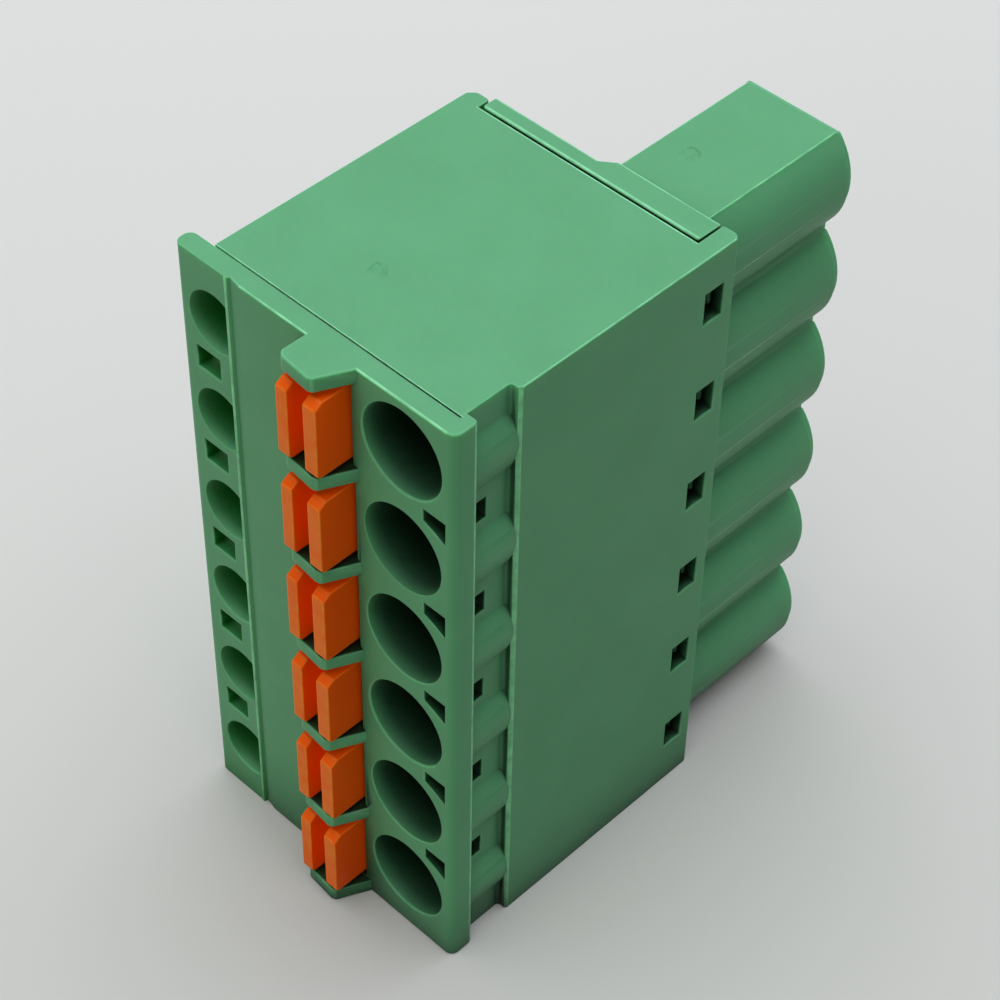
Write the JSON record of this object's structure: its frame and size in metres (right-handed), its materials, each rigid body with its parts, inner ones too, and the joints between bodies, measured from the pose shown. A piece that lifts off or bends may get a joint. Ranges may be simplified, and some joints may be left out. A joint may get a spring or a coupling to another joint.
{
  "type": "pluggable terminal block",
  "caption": "Pluggable push-in wire connector: green housing with round wire entries, orange release buttons, test points and a lobed plug nose.",
  "frame": {"origin": "on the end face the part stands on, midway across the flange and along the housing", "axes": "+Z along the row of poles, +Y from the wire face towards the mating nose, +X towards the side with the latch windows"},
  "size_m": [0.0148, 0.0254, 0.0312],
  "materials": {
    "housing": "satin moulded",
    "nose": "satin moulded",
    "button": "satin moulded",
    "contact": "tin plated copper alloy",
    "spring": "bright rolled strip"
  },
  "bodies": {
    "block": {"housing": "housing", "nose": "nose", "contact_1": "contact", "contact_2": "contact", "contact_3": "contact", "contact_4": "contact", "contact_5": "contact", "contact_6": "contact", "spring_1": "spring", "spring_2": "spring", "spring_3": "spring", "spring_4": "spring", "spring_5": "spring", "spring_6": "spring"},
    "button_1": {"button_1": "button"},
    "button_2": {"button_2": "button"},
    "button_3": {"button_3": "button"},
    "button_4": {"button_4": "button"},
    "button_5": {"button_5": "button"},
    "button_6": {"button_6": "button"}
  },
  "joints": [
    {"name": "button_1_press", "type": "slide", "parent": "block", "child": "button_1", "axis": [0, 1, 0], "range_m": [0, 0.0014], "stiffness_N_per_m": 8000, "deforming": ["spring_1"]},
    {"name": "button_2_press", "type": "slide", "parent": "block", "child": "button_2", "axis": [0, 1, 0], "range_m": [0, 0.0014], "stiffness_N_per_m": 8000, "deforming": ["spring_2"]},
    {"name": "button_3_press", "type": "slide", "parent": "block", "child": "button_3", "axis": [0, 1, 0], "range_m": [0, 0.0014], "stiffness_N_per_m": 8000, "deforming": ["spring_3"]},
    {"name": "button_4_press", "type": "slide", "parent": "block", "child": "button_4", "axis": [0, 1, 0], "range_m": [0, 0.0014], "stiffness_N_per_m": 8000, "deforming": ["spring_4"]},
    {"name": "button_5_press", "type": "slide", "parent": "block", "child": "button_5", "axis": [0, 1, 0], "range_m": [0, 0.0014], "stiffness_N_per_m": 8000, "deforming": ["spring_5"]},
    {"name": "button_6_press", "type": "slide", "parent": "block", "child": "button_6", "axis": [0, 1, 0], "range_m": [0, 0.0014], "stiffness_N_per_m": 8000, "deforming": ["spring_6"]}
  ]
}
